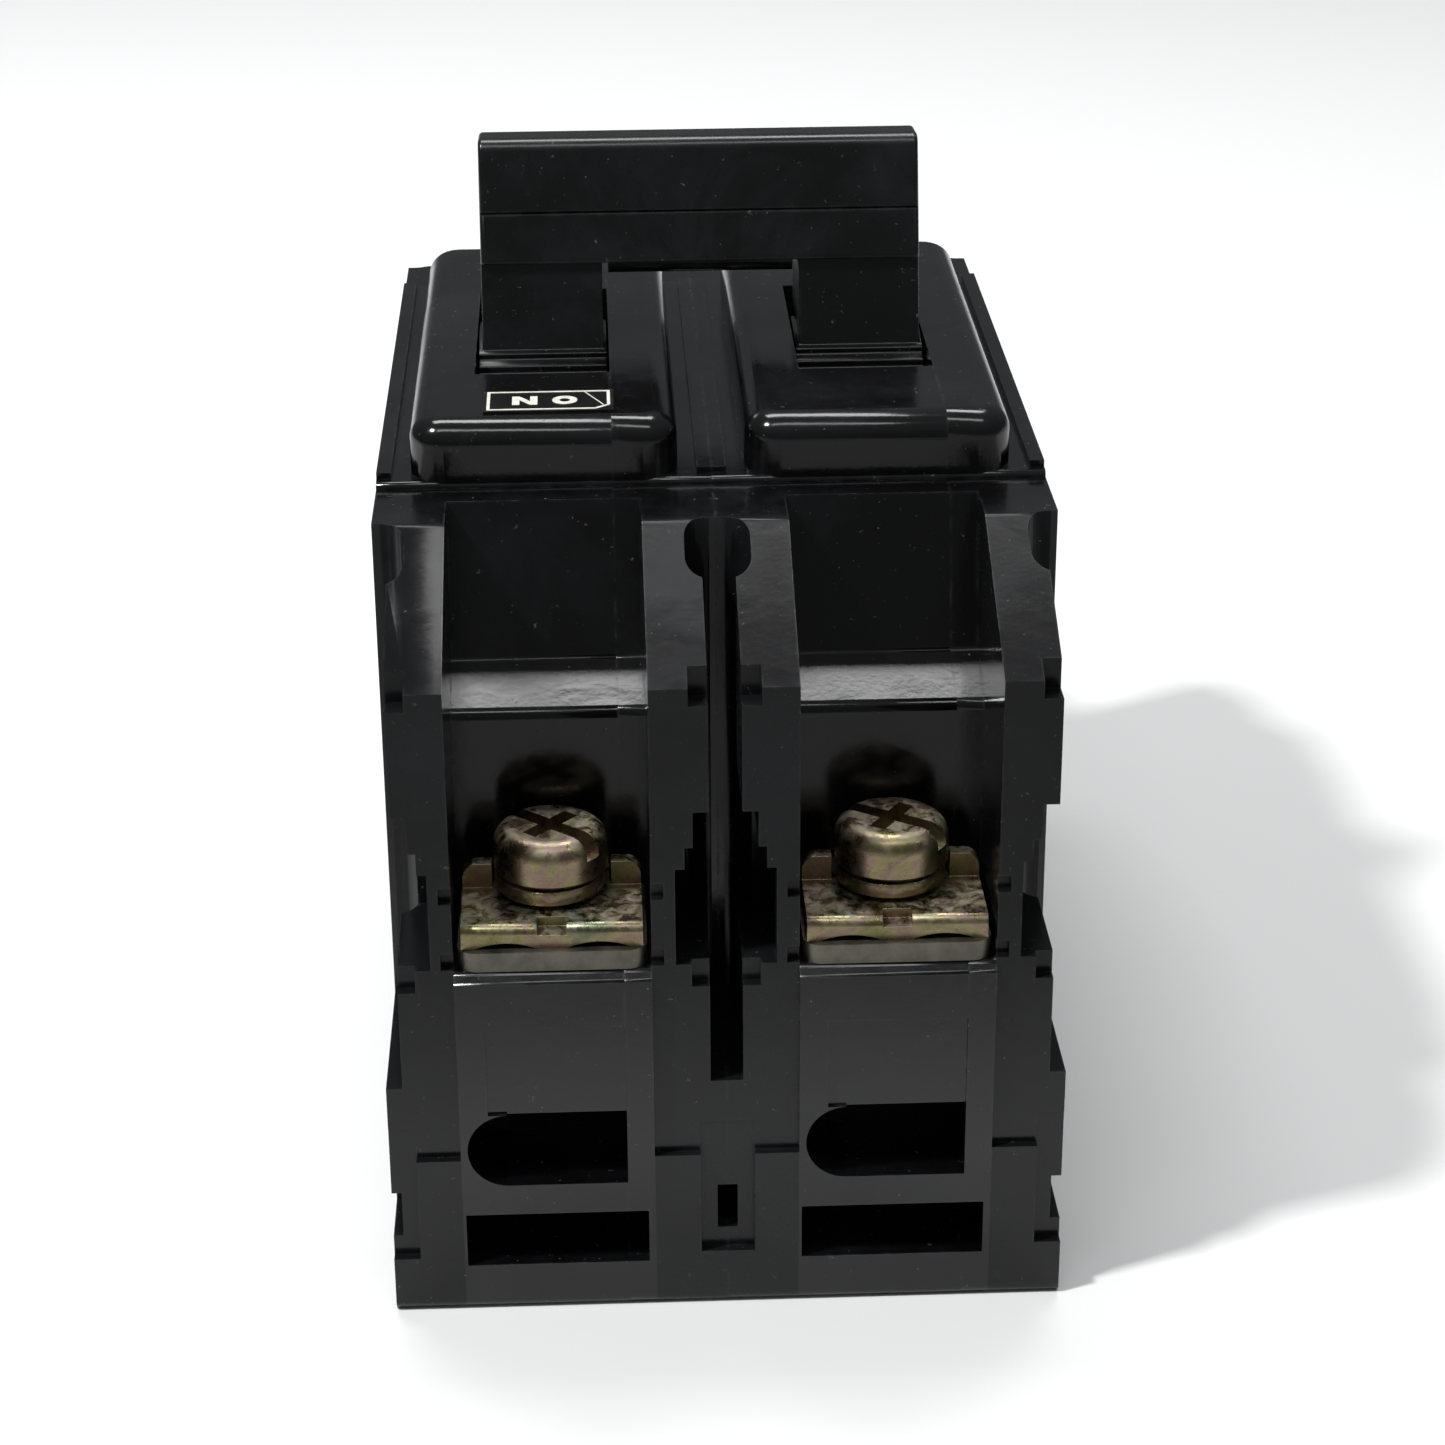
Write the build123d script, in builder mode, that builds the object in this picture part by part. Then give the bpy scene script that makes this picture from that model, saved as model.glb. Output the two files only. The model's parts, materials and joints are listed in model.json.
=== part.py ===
"""Two-pole moulded-case circuit breaker, as separate pieces.

Two identical single-pole modules stand side by side. X runs across the poles, Y along the body
with the load terminals at -Y and the line terminals at +Y, and Z is up from the mounting face.
The origin is the middle of the mounting face. All sizes are in millimetres.

Sizes whose names start with X_ are measured from a pole's own left side, and side outlines are
lists of (y, z) points.
"""

import os
from math import cos, radians, sin

from build123d import *

# Whole body
POLE_NAMES = ("left", "right")
POLE_PITCH = 25.0
BODY_LENGTH = 95.0
HALF_LENGTH = BODY_LENGTH / 2
END_HEIGHT = 50.0
SHOULDER_HEIGHT = 58.0
SHOULDER_HALF = 25.1
SHOULDER_STEP = 0.5
SHOULDER_ROUND = 0.45
BARRIER_TOP_HALF = 32.6
X_SEAM = 17.6
WALL = 2.4
FOOT_ROUND = 0.8
BARRIER_ROUND = 1.4
LIP_WIDTH = 1.1
LIP_HEIGHT = 0.5

# Raised platform round the handle
PLATFORM_HEIGHT = 62.5
X_PLATFORM = (2.5, 22.5)
PLATFORM_Y = (-25.0, 22.2)
PLATFORM_CORNER = 2.6
PLATFORM_ROUND = 1.9
X_SLOT = (7.2, X_SEAM)
SLOT_HALF = 10.9
MARKING_X = (8.05, 17.8)
MARKING_Y = (-22.7, -18.0)
MARKING_THICKNESS = 0.15

# Terminal recesses, the same at both ends
X_RECESS = (5.3, 19.6)
LEDGE_HEIGHT = 28.4
RECESS_BACK = 35.3
RECESS_OUTLINE = [(35.3, 43.7), (30.4, 45.9), (27.8, 57.6), (27.8, 60.0)]
RECESS_ROUNDS = (0.9, 0.4)
LEDGE_ROUND = 0.8
SCREW_X = (X_RECESS[0] + X_RECESS[1]) / 2
SCREW_Y = 40.0
SCREW_WELL_RADIUS = 2.7
SCREW_WELL_BOTTOM = 19.0
NICK_BOTTOMS = (28.6, 33.9)
NICK_HEIGHT = 1.3
NICK_DEPTH = 1.4
NICK_WIDTH = 0.9

# Cuts in the side faces near each end: depth along X, reach from the end, bottom and top
SIDE_CUTS = [
    (1.2, 10.0, 18.9, SHOULDER_HEIGHT + 1),
    (2.6, 2.6, 49.0, 52.4),
    (2.35, 11.4, 28.6, 40.8),
    (2.95, 11.4, 28.6, 38.0),
    (3.65, 11.4, 28.6, 36.3),
    (2.5, 1.6, 26.8, 28.6),
    (2.0, 0.8, 4.6, 15.5),
    (0.75, 6.0, 6.2, 9.9),
]
BEAD_INSET = 12.6
BEAD_DEPTH = 2.4
BEAD_LENGTH = 5.6
BEAD_CORNER = 1.9
BEAD_BOTTOM = 18.9

# End face below the ledge
STRIP_INSET = 0.7
STRIP_BOTTOM = 13.0
FIELD_DEPTH = 0.3
FIELD_X = (7.4, X_SEAM)
FIELD_Z = (16.8, 24.0)
CLIP_SLOT_Z = (3.9, 8.3)
CLIP_SLOT_X = (5.5, 19.1)
CLIP_SLOT_DEPTH = 7.0
ROUND_SLOT_Z = (10.8, 16.8)
ROUND_SLOT_X = 5.8
ROUND_SLOT_DEPTH = 8.0

# Cavity inside the two shells of a pole
CAVITY_FLOOR = 3.0
CAVITY_OUTLINE = [
    (-32.0, CAVITY_FLOOR),
    (32.0, CAVITY_FLOOR),
    (32.0, 41.5),
    (22.0, 45.0),
    (22.0, 55.4),
    (-22.0, 55.4),
    (-22.0, 45.0),
    (-32.0, 41.5),
]

# Through rivets
RIVET_RADIUS = 1.6
RIVET_HEAD_RADIUS = 2.7
RIVET_HEAD_HEIGHT = 0.7
RIVET_POCKET_RADIUS = 3.3
RIVET_POCKET_DEPTH = 1.0
RIVET_PLACES = [(-25.5, 50.5), (25.5, 50.5), (-34.6, 12.6), (34.6, 12.6)]

# Handle
PIVOT_Y = -2.5
PIVOT_Z = 49.3
LEAN = 4.5
DRUM_RADIUS = 12.5
PADS = [(12.95, 12.2), (13.35, 10.6)]
STEM_FOOT = (5.0, 11.5)
STEM_TIP = (2.5, 25.5)
X_DRUM = (7.35, 17.45)
X_STEM = (7.7, 17.2)
DRUM_WALL = 1.9
TRUNNION_RADIUS = 2.0
X_TRUNNIONS = (3.3, 21.5)
HUB_RADIUS = 3.4
HUB_WEB = 6.4
FORK_WIDTH = 3.2
RUNNING_CLEARANCE = 0.06
BOSS_RADIUS = 3.8
FORK_REACH = 8.0
FORK_PIN_RADIUS = 1.25
BAR_BOTTOM = 18.2
BAR_TOP = 28.6
BAR_HALF_FOOT = 4.5
BAR_HALF_TIP = 2.2
BAR_NOTCH = 1.0
BAR_LINE_HEIGHT = 23.0
BAR_LINE_DEPTH = 0.12

# Contact arm, drawn as it stands when the contacts are closed
THROW_TO_ON = 26.5
ARM_SHARE = 0.476
X_ARM = (11.2, 13.7)
CONTACT_Z = 14.0
CONTACT_FACE_Y = 16.5
CONTACT_RADIUS = 2.4
CONTACT_THICKNESS = 1.1
CONTACT_GAP = 0.2

# Current path
STRAP_THICKNESS = 1.5
X_STRAP = (5.6, 19.3)
X_INNER_STRAP = (8.4, 16.5)
THREAD_RADIUS = 2.08
SCREW_RADIUS = 2.03
PLATE_TOP = LEDGE_HEIGHT + STRAP_THICKNESS
BIMETAL_Y = (-22.6, -21.6)
BIMETAL_Z = (11.0, 38.8)

# Terminal clamps and screws
CLAMP_HALF_WIDTH = 6.6
CLAMP_THICKNESS = 1.2
CLAMP_TOP = PLATE_TOP + 1.8
CLAMP_FRONT = HALF_LENGTH - 1.3
CLAMP_BACK = HALF_LENGTH - 11.6
EAR_FRONT = HALF_LENGTH - 7.7
EAR_HEIGHT = 1.9
EAR_GAP = 4.35
EAR_CORNER = 1.15
LIP_ROUND = 0.7
LIP_ARCH_X = 3.4
LIP_ARCH_RADIUS = 6.1
LIP_ARCH_RISE = 0.45
CLAMP_NOTCH = (2.1, 1.5, 0.75)
WASHER_RADIUS = 4.0
WASHER_HOLE = 2.3
WASHER_SECTION = 1.1
WASHER_RISE = 0.5
WASHER_SLACK = 0.04
HEAD_BOTTOM = CLAMP_TOP + WASHER_SECTION + WASHER_RISE + 2 * WASHER_SLACK
HEAD_RADIUS = 4.2
HEAD_HEIGHT = 3.5
HEAD_ROUND = 1.35
HEAD_UNDERCUT = 0.35
HEAD_SLOT_WIDTH = 1.25
HEAD_SLOT_DEPTH = 1.55
HEAD_CROSS_LENGTH = 4.6
SHANK_BOTTOM = 20.5
SLOT_TURNS = {"load_left": -42.0, "load_right": -33.0, "line_left": 24.0, "line_right": 71.0}

# Trip gear
CRADLE_PIVOT = (15.0, 40.0)
CRADLE_PIN_RADIUS = 1.5
X_CRADLE = (5.4, 6.8)
ARMATURE_PIVOT = (-17.7, 40.4)
ARMATURE_PIN_RADIUS = 1.0
TRIP_BAR = (-12.0, 22.0)
TRIP_BAR_RADIUS = 1.7
TRIP_BAR_HOLE = 2.4

CORE_X = (X_ARM[0] + X_ARM[1]) / 2


def pole_left(pole):
    """X of the left side of a pole."""
    return (pole - 1) * POLE_PITCH


def prism(points, x_low, x_high, mode=Mode.ADD, rounds=()):
    """Side outline of (y, z) points run from x_low to x_high, with ((y, z), radius) rounds."""
    with BuildSketch(Plane.YZ.offset(x_low)) as side:
        with BuildLine():
            Polyline(*points, close=True)
        make_face()
        for (y, z), radius in rounds:
            fillet(side.vertices().sort_by_distance((y, z))[0], radius)
    extrude(side.sketch, amount=x_high - x_low, mode=mode)


def block(x, y, z, mode=Mode.ADD):
    """Box between the limits given as (low, high) pairs."""
    with Locations(((x[0] + x[1]) / 2, (y[0] + y[1]) / 2, (z[0] + z[1]) / 2)):
        Box(x[1] - x[0], y[1] - y[0], z[1] - z[0], mode=mode)


def cross_rod(y, z, radius, x_low, x_high, mode=Mode.ADD):
    """Round rod or hole along X."""
    with BuildSketch(Plane.YZ.offset(x_low)) as disc:
        with Locations((y, z)):
            Circle(radius)
    extrude(disc.sketch, amount=x_high - x_low, mode=mode)


def end_span(end, far, near):
    """Y limits of a feature at the load end (-1) or the line end (+1)."""
    return (min(end * far, end * near), max(end * far, end * near))


def handle_plane(x):
    """Plane across the handle at its pivot, leaning with it: local x is thickness, y is height."""
    lean = radians(LEAN)
    return Plane(origin=(x, PIVOT_Y, PIVOT_Z), x_dir=(0, cos(lean), -sin(lean)), z_dir=(1, 0, 0))


def arm_pivot():
    """(y, z) of the contact arm's pin in the handle's fork."""
    lean = radians(LEAN)
    return PIVOT_Y - FORK_REACH * sin(lean), PIVOT_Z - FORK_REACH * cos(lean)


def arm_plane(x):
    """Plane of the contact arm, turned back from its closed place by the arm's share of the throw."""
    turn = radians(THROW_TO_ON * ARM_SHARE)
    y, z = arm_pivot()
    return Plane(origin=(x, y, z), x_dir=(0, cos(turn), -sin(turn)), z_dir=(1, 0, 0))


def write(piece, name):
    """Label a finished piece and write it as one STEP."""
    piece.part.label = name
    export_step(piece.part, f"parts/{name}.step")


# ---------------------------------------------------------------- shells


def outer_form(left, x_low, x_high):
    """Outside of a pole between two X limits: body, shoulder, platform and edge lips."""
    low_top = SHOULDER_HEIGHT - SHOULDER_STEP
    outline = [
        (-HALF_LENGTH, 0),
        (HALF_LENGTH, 0),
        (HALF_LENGTH, END_HEIGHT),
        (BARRIER_TOP_HALF, low_top),
        (SHOULDER_HALF, low_top),
        (SHOULDER_HALF, SHOULDER_HEIGHT),
        (-SHOULDER_HALF, SHOULDER_HEIGHT),
        (-SHOULDER_HALF, low_top),
        (-BARRIER_TOP_HALF, low_top),
        (-HALF_LENGTH, END_HEIGHT),
    ]
    rounds = []
    for sign in (-1, 1):
        rounds.append(((sign * HALF_LENGTH, 0), FOOT_ROUND))
        rounds.append(((sign * HALF_LENGTH, END_HEIGHT), BARRIER_ROUND))
        rounds.append(((sign * BARRIER_TOP_HALF, low_top), 1.0))
        rounds.append(((sign * SHOULDER_HALF, SHOULDER_HEIGHT), SHOULDER_ROUND))
    prism(outline, left + x_low, left + x_high, rounds=rounds)


def platform(left, x_low, x_high):
    """Raised platform with rounded corners and top edge, kept between two X limits."""
    y_mid = (PLATFORM_Y[0] + PLATFORM_Y[1]) / 2
    x_mid = left + (X_PLATFORM[0] + X_PLATFORM[1]) / 2
    width = X_PLATFORM[1] - X_PLATFORM[0]
    length = PLATFORM_Y[1] - PLATFORM_Y[0]
    with BuildPart() as whole:
        with BuildSketch(Plane.XY.offset(SHOULDER_HEIGHT - 1)):
            with Locations((x_mid, y_mid)):
                RectangleRounded(width, length, PLATFORM_CORNER)
        extrude(amount=PLATFORM_HEIGHT - SHOULDER_HEIGHT + 1)
        fillet(whole.faces().sort_by(Axis.Z)[-1].edges(), PLATFORM_ROUND)
        keep = (left + x_low, left + x_high)
        block(keep, (-HALF_LENGTH, HALF_LENGTH), (0, PLATFORM_HEIGHT + 1), mode=Mode.INTERSECT)
    return whole.part


def side_slots(side, inward):
    """Barrier slots, ledges and pockets cut in one side face; inward is +1 or -1 along X."""
    for end in (-1, 1):
        for depth, reach, z_low, z_high in SIDE_CUTS:
            x = sorted((side, side + inward * depth))
            y = end_span(end, HALF_LENGTH + 1, HALF_LENGTH - reach)
            block(x, y, (z_low, z_high), mode=Mode.SUBTRACT)
        with BuildSketch(Plane.XY.offset(BEAD_BOTTOM)) as bead:
            with Locations((side, end * (HALF_LENGTH - BEAD_INSET))):
                RectangleRounded(2 * BEAD_DEPTH, BEAD_LENGTH, BEAD_CORNER)
        extrude(bead.sketch, amount=SHOULDER_HEIGHT, mode=Mode.SUBTRACT)


def end_recess(left, end):
    """Terminal recess between a pole's barriers, with its screw well and the strap's way in."""
    edge = [(HALF_LENGTH, LEDGE_HEIGHT - LEDGE_ROUND), (HALF_LENGTH - LEDGE_ROUND, LEDGE_HEIGHT)]
    outline = [(HALF_LENGTH + 1, edge[0][1]), *edge, (RECESS_BACK, LEDGE_HEIGHT), *RECESS_OUTLINE]
    outline.append((HALF_LENGTH + 1, RECESS_OUTLINE[-1][1]))
    outline = [(end * y, z) for y, z in outline]
    rounds = [((end * y, z), LEDGE_ROUND) for y, z in edge]
    rounds += [((end * y, z), r) for (y, z), r in zip(RECESS_OUTLINE, RECESS_ROUNDS)]
    prism(outline, left + X_RECESS[0], left + X_RECESS[1], mode=Mode.SUBTRACT, rounds=rounds)
    with BuildSketch(Plane.XY.offset(SCREW_WELL_BOTTOM)) as well:
        with Locations((left + SCREW_X, end * SCREW_Y)):
            Circle(SCREW_WELL_RADIUS)
    extrude(well.sketch, amount=LEDGE_HEIGHT - SCREW_WELL_BOTTOM, mode=Mode.SUBTRACT)
    way_x = (left + X_INNER_STRAP[0], left + X_INNER_STRAP[1])
    way_y = end_span(end, RECESS_BACK + 1, CAVITY_OUTLINE[1][0] - 1)
    block(way_x, way_y, (LEDGE_HEIGHT, PLATE_TOP), mode=Mode.SUBTRACT)
    nick_y = end_span(end, HALF_LENGTH + 1, HALF_LENGTH - NICK_DEPTH)
    for z_low in NICK_BOTTOMS:
        for x_low in (X_RECESS[0] - NICK_WIDTH, X_RECESS[1] - 0.1):
            nick_x = (left + x_low, left + x_low + NICK_WIDTH + 0.1)
            block(nick_x, nick_y, (z_low, z_low + NICK_HEIGHT), mode=Mode.SUBTRACT)


def end_face(left, end):
    """Set-back side strips, clip slot and round-ended slot in a pole's end face."""
    face = end_span(end, HALF_LENGTH + 1, HALF_LENGTH - STRIP_INSET)
    top = SHOULDER_HEIGHT + 1
    block((left, left + X_RECESS[0]), face, (STRIP_BOTTOM, top), mode=Mode.SUBTRACT)
    block((left + X_RECESS[1], left + POLE_PITCH), face, (STRIP_BOTTOM, top), mode=Mode.SUBTRACT)
    slot = end_span(end, HALF_LENGTH + 1, HALF_LENGTH - CLIP_SLOT_DEPTH)
    block((left + CLIP_SLOT_X[0], left + CLIP_SLOT_X[1]), slot, CLIP_SLOT_Z, mode=Mode.SUBTRACT)
    field = end_span(end, HALF_LENGTH + 1, HALF_LENGTH - FIELD_DEPTH)
    block((left + FIELD_X[0], left + FIELD_X[1]), field, FIELD_Z, mode=Mode.SUBTRACT)


def round_slot(left, end):
    """Slot with one round end, open to the seam, in the base shell's end face."""
    radius = (ROUND_SLOT_Z[1] - ROUND_SLOT_Z[0]) / 2
    z_mid = (ROUND_SLOT_Z[1] + ROUND_SLOT_Z[0]) / 2
    x_round = left + ROUND_SLOT_X + radius
    with BuildSketch(Plane.XZ.offset(-end * HALF_LENGTH)) as slot:
        with Locations((x_round, z_mid)):
            Circle(radius)
        with Locations(((x_round + left + X_SEAM) / 2, z_mid)):
            Rectangle(left + X_SEAM - x_round, 2 * radius)
    extrude(slot.sketch, amount=end * ROUND_SLOT_DEPTH, mode=Mode.SUBTRACT)


def inner_cavity(left):
    """Space for the mechanism, with the handle's slot above it and sockets for the pins."""
    inside = (left + WALL, left + POLE_PITCH - WALL)
    prism(CAVITY_OUTLINE, *inside, mode=Mode.SUBTRACT)
    under_platform = (left + X_PLATFORM[0] + WALL, left + X_PLATFORM[1] - WALL)
    block(under_platform, (-20.0, 17.5), (55.0, PLATFORM_HEIGHT - WALL), mode=Mode.SUBTRACT)
    slot_y = (PIVOT_Y - SLOT_HALF, PIVOT_Y + SLOT_HALF)
    slot_z = (55.0, PLATFORM_HEIGHT + 1)
    block((left + X_SLOT[0], left + X_SLOT[1]), slot_y, slot_z, mode=Mode.SUBTRACT)


def pin_sockets(left):
    """Blind sockets and through holes for the pins and the trip bar."""
    trunnion = TRUNNION_RADIUS + RUNNING_CLEARANCE
    cross_rod(PIVOT_Y, PIVOT_Z, trunnion, left + 3.2, left + 21.6, mode=Mode.SUBTRACT)
    cross_rod(*CRADLE_PIVOT, CRADLE_PIN_RADIUS, left + 1.2, left + 23.8, mode=Mode.SUBTRACT)
    armature = ARMATURE_PIN_RADIUS + RUNNING_CLEARANCE
    cross_rod(*ARMATURE_PIVOT, armature, left + 1.3, left + 23.7, mode=Mode.SUBTRACT)


def shell_pockets(left, pole):
    """Rivet holes through a pole, head pockets on the outer sides, and the trip bar's way through."""
    right = left + POLE_PITCH
    for y, z in RIVET_PLACES:
        cross_rod(y, z, RIVET_RADIUS, left, right, mode=Mode.SUBTRACT)
        if pole == 0:
            cross_rod(y, z, RIVET_POCKET_RADIUS, left, left + RIVET_POCKET_DEPTH, mode=Mode.SUBTRACT)
        else:
            cross_rod(y, z, RIVET_POCKET_RADIUS, right - RIVET_POCKET_DEPTH, right, mode=Mode.SUBTRACT)
    way_low = left + 1.2 if pole == 0 else left
    way_high = right if pole == 0 else right - 1.2
    cross_rod(*TRIP_BAR, TRIP_BAR_HOLE, way_low, way_high, mode=Mode.SUBTRACT)


def make_shells(pole):
    """Base shell and cover shell of one pole."""
    left = pole_left(pole)
    spans = {"base_shell": (0.0, X_SEAM), "cover_shell": (X_SEAM, POLE_PITCH)}
    for kind, (x_low, x_high) in spans.items():
        top = platform(left, x_low, x_high)
        with BuildPart() as shell:
            outer_form(left, x_low, x_high)
            add(top)
            side = left if kind == "base_shell" else left + POLE_PITCH
            inward = 1 if kind == "base_shell" else -1
            lip = sorted((side, side + inward * LIP_WIDTH))
            lip_z = (SHOULDER_HEIGHT - 1, SHOULDER_HEIGHT + LIP_HEIGHT)
            block(lip, (-SHOULDER_HALF + 1, SHOULDER_HALF - 1), lip_z)
            side_slots(side, inward)
            for end in (-1, 1):
                end_recess(left, end)
                end_face(left, end)
                if kind == "base_shell":
                    round_slot(left, end)
            inner_cavity(left)
            boss = sorted((side + inward * WALL, side + inward * (X_DRUM[0] - 0.4)))
            cross_rod(PIVOT_Y, PIVOT_Z, BOSS_RADIUS, *boss)
            if kind == "base_shell":
                cross_rod(*CRADLE_PIVOT, 3.0, left + WALL, left + X_CRADLE[0] - 0.2)
            pin_sockets(left)
            shell_pockets(left, pole)
            block((left + x_low, left + x_high), (-60, 60), (-1, 80), mode=Mode.INTERSECT)
        write(shell, f"{kind}_{POLE_NAMES[pole]}")


def make_rivets():
    """Four long rivets through both poles, heads sunk in the outer sides."""
    reach = POLE_PITCH - RIVET_POCKET_DEPTH
    with BuildPart() as rivets:
        for y, z in RIVET_PLACES:
            cross_rod(y, z, RIVET_RADIUS, -reach, reach)
            cross_rod(y, z, RIVET_HEAD_RADIUS, -reach - RIVET_HEAD_HEIGHT, -reach)
            cross_rod(y, z, RIVET_HEAD_RADIUS, reach, reach + RIVET_HEAD_HEIGHT)
        heads = rivets.faces().filter_by(Axis.X).group_by(Axis.X)
        fillet([edge for face in heads[0] + heads[-1] for edge in face.edges()], 0.4)
    write(rivets, "through_rivets")


# ---------------------------------------------------------------- handles


def stem_outline():
    """Tapered outline of the stem in handle coordinates."""
    foot, foot_height = STEM_FOOT
    tip, tip_height = STEM_TIP
    return [(-foot, foot_height), (foot, foot_height), (tip, tip_height), (-tip, tip_height)]


def make_handle(pole):
    """Handle: drum with two stepped pads, tapered stem, hub, trunnions and the fork for the arm."""
    left = pole_left(pole)
    drum_width = X_DRUM[1] - X_DRUM[0]
    with BuildPart() as handle:
        with BuildSketch(handle_plane(left + X_DRUM[0])):
            Circle(DRUM_RADIUS)
            with Locations((0, -DRUM_RADIUS)):
                Rectangle(4 * DRUM_RADIUS, 2 * DRUM_RADIUS, mode=Mode.SUBTRACT)
        extrude(amount=drum_width)
        for radius, width in PADS:
            with BuildSketch(handle_plane(left + X_DRUM[0])):
                Circle(radius)
                with Locations((0, radius)):
                    Rectangle(width, radius, mode=Mode.INTERSECT)
            extrude(amount=drum_width)
        with BuildSketch(handle_plane(left + X_STEM[0])):
            with BuildLine():
                Polyline(*stem_outline(), close=True)
            make_face()
        extrude(amount=X_STEM[1] - X_STEM[0])
        with BuildSketch(handle_plane(left + X_DRUM[0] + DRUM_WALL)):
            with Locations((0, -1)):
                Rectangle(15.0, 17.0)
        extrude(amount=drum_width - 2 * DRUM_WALL, mode=Mode.SUBTRACT)
        for x in (X_DRUM[0], X_DRUM[1] - DRUM_WALL):
            with BuildSketch(handle_plane(left + x)):
                Circle(HUB_RADIUS)
                with Locations((0, -FORK_REACH / 2 - 1)):
                    Rectangle(HUB_WEB, FORK_REACH + 2)
                with Locations((0, -FORK_REACH - 1.2)):
                    SlotOverall(HUB_WEB, FORK_WIDTH)
            extrude(amount=DRUM_WALL)
        with BuildSketch(handle_plane(left + X_TRUNNIONS[0])):
            Circle(TRUNNION_RADIUS)
        extrude(amount=X_TRUNNIONS[1] - X_TRUNNIONS[0])
        with BuildSketch(handle_plane(left)):
            with Locations((0, -FORK_REACH)):
                Circle(FORK_PIN_RADIUS + RUNNING_CLEARANCE)
        extrude(amount=POLE_PITCH, mode=Mode.SUBTRACT)
    write(handle, f"handle_{POLE_NAMES[pole]}")


def bar_half(height):
    """Half thickness of the bar at a height above the pivot."""
    share = (height - BAR_BOTTOM) / (BAR_TOP - BAR_BOTTOM)
    return BAR_HALF_FOOT + share * (BAR_HALF_TIP - BAR_HALF_FOOT)


def make_handle_bar():
    """Bar that joins the two handles, with a mould line round it and a pocket for each stem."""
    x_low = pole_left(0) + X_STEM[0]
    x_high = pole_left(1) + X_STEM[1]
    with BuildPart() as bar:
        with BuildSketch(handle_plane(x_low)) as outline:
            with BuildLine():
                Polyline(
                    (-BAR_HALF_FOOT, BAR_BOTTOM),
                    (BAR_HALF_FOOT, BAR_BOTTOM),
                    (BAR_HALF_TIP, BAR_TOP),
                    (-BAR_HALF_TIP, BAR_TOP),
                    close=True,
                )
            make_face()
            fillet(outline.vertices().group_by(Axis.Z)[-1], 1.1)
        extrude(amount=x_high - x_low)
        fillet(bar.faces().filter_by(Axis.X).edges(), 0.35)
        for pole in range(2):
            stem_x = pole_left(pole) + X_STEM[0]
            with BuildSketch(handle_plane(stem_x)):
                with BuildLine():
                    Polyline(*stem_outline(), close=True)
                make_face()
            extrude(amount=X_STEM[1] - X_STEM[0], mode=Mode.SUBTRACT)
            with BuildSketch(handle_plane(stem_x - 0.5)):
                with Locations((0, BAR_BOTTOM)):
                    Rectangle(3 * BAR_HALF_FOOT, 2 * BAR_NOTCH)
            extrude(amount=X_STEM[1] - X_STEM[0] + 1.0, mode=Mode.SUBTRACT)
        with BuildSketch(handle_plane(x_low - 1)):
            for sign in (-1, 1):
                with Locations((sign * bar_half(BAR_LINE_HEIGHT), BAR_LINE_HEIGHT)):
                    Rectangle(2 * BAR_LINE_DEPTH, 2 * BAR_LINE_DEPTH, rotation=45)
        extrude(amount=x_high - x_low + 2, mode=Mode.SUBTRACT)
    write(bar, "handle_bar")


# ---------------------------------------------------------------- contacts


def make_contact_arm(pole):
    """Contact arm with its fork pin, spring pin and foot, and the silver contact on the foot."""
    left = pole_left(pole)
    on_turn = radians(THROW_TO_ON - LEAN)
    closed_y = PIVOT_Y + FORK_REACH * sin(on_turn)
    closed_z = PIVOT_Z - FORK_REACH * cos(on_turn)
    foot_s = CONTACT_FACE_Y - CONTACT_GAP - CONTACT_THICKNESS - closed_y
    foot_t = CONTACT_Z - closed_z
    name = POLE_NAMES[pole]
    with BuildPart() as arm:
        with BuildSketch(arm_plane(left + X_ARM[0])):
            Circle(2.4)
            with BuildLine():
                Polyline(
                    (-2.2, 1.0),
                    (2.2, 1.0),
                    (4.4, -8.0),
                    (foot_s - 1.6, foot_t + 6.0),
                    (foot_s, foot_t + 3.2),
                    (foot_s, foot_t - 3.0),
                    (foot_s - 2.6, foot_t - 3.0),
                    (foot_s - 4.6, foot_t + 4.4),
                    (-1.4, -9.0),
                    close=True,
                )
            make_face()
        extrude(amount=X_ARM[1] - X_ARM[0])
        with BuildSketch(arm_plane(left + X_DRUM[0])):
            Circle(FORK_PIN_RADIUS)
        extrude(amount=X_DRUM[1] - X_DRUM[0])
    write(arm, f"contact_arm_{name}")
    with BuildPart() as contact:
        plane = arm_plane(left + CORE_X)
        face = Plane(
            origin=plane.from_local_coords((foot_s, foot_t, 0)),
            x_dir=(1, 0, 0),
            z_dir=plane.x_dir,
        )
        with BuildSketch(face):
            Circle(CONTACT_RADIUS)
        extrude(amount=CONTACT_THICKNESS)
        fillet(contact.edges().filter_by(GeomType.CIRCLE).sort_by(Axis.Y)[-1], 0.3)
    write(contact, f"moving_contact_{name}")


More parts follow.
